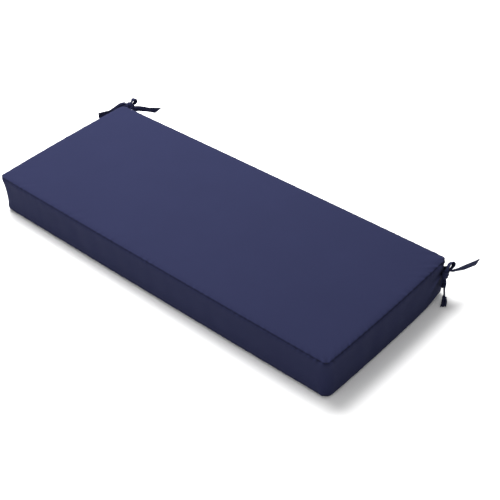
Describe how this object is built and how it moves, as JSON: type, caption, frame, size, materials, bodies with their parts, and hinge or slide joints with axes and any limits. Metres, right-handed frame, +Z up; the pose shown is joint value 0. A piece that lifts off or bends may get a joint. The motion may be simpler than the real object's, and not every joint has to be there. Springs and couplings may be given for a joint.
{
  "type": "bench cushion",
  "caption": "Long boxed seat cushion with a gently crowned top, plain seams and fabric ties knotted in bows at its back corners.",
  "frame": {"origin": "middle of the flat underside", "axes": "+X along the cushion's length, +Y towards the tied back edge, +Z up through the top panel"},
  "size_m": [1.2313, 0.5522, 0.1196],
  "materials": {
    "cover_fabric": "matte plain weave",
    "tie_fabric": "matte plain weave"
  },
  "bodies": {
    "root": {"cushion": "cover_fabric", "tie_right_inner": "tie_fabric", "tie_right_wrap": "tie_fabric", "tie_left_inner": "tie_fabric", "tie_left_wrap": "tie_fabric"}
  },
  "joints": []
}
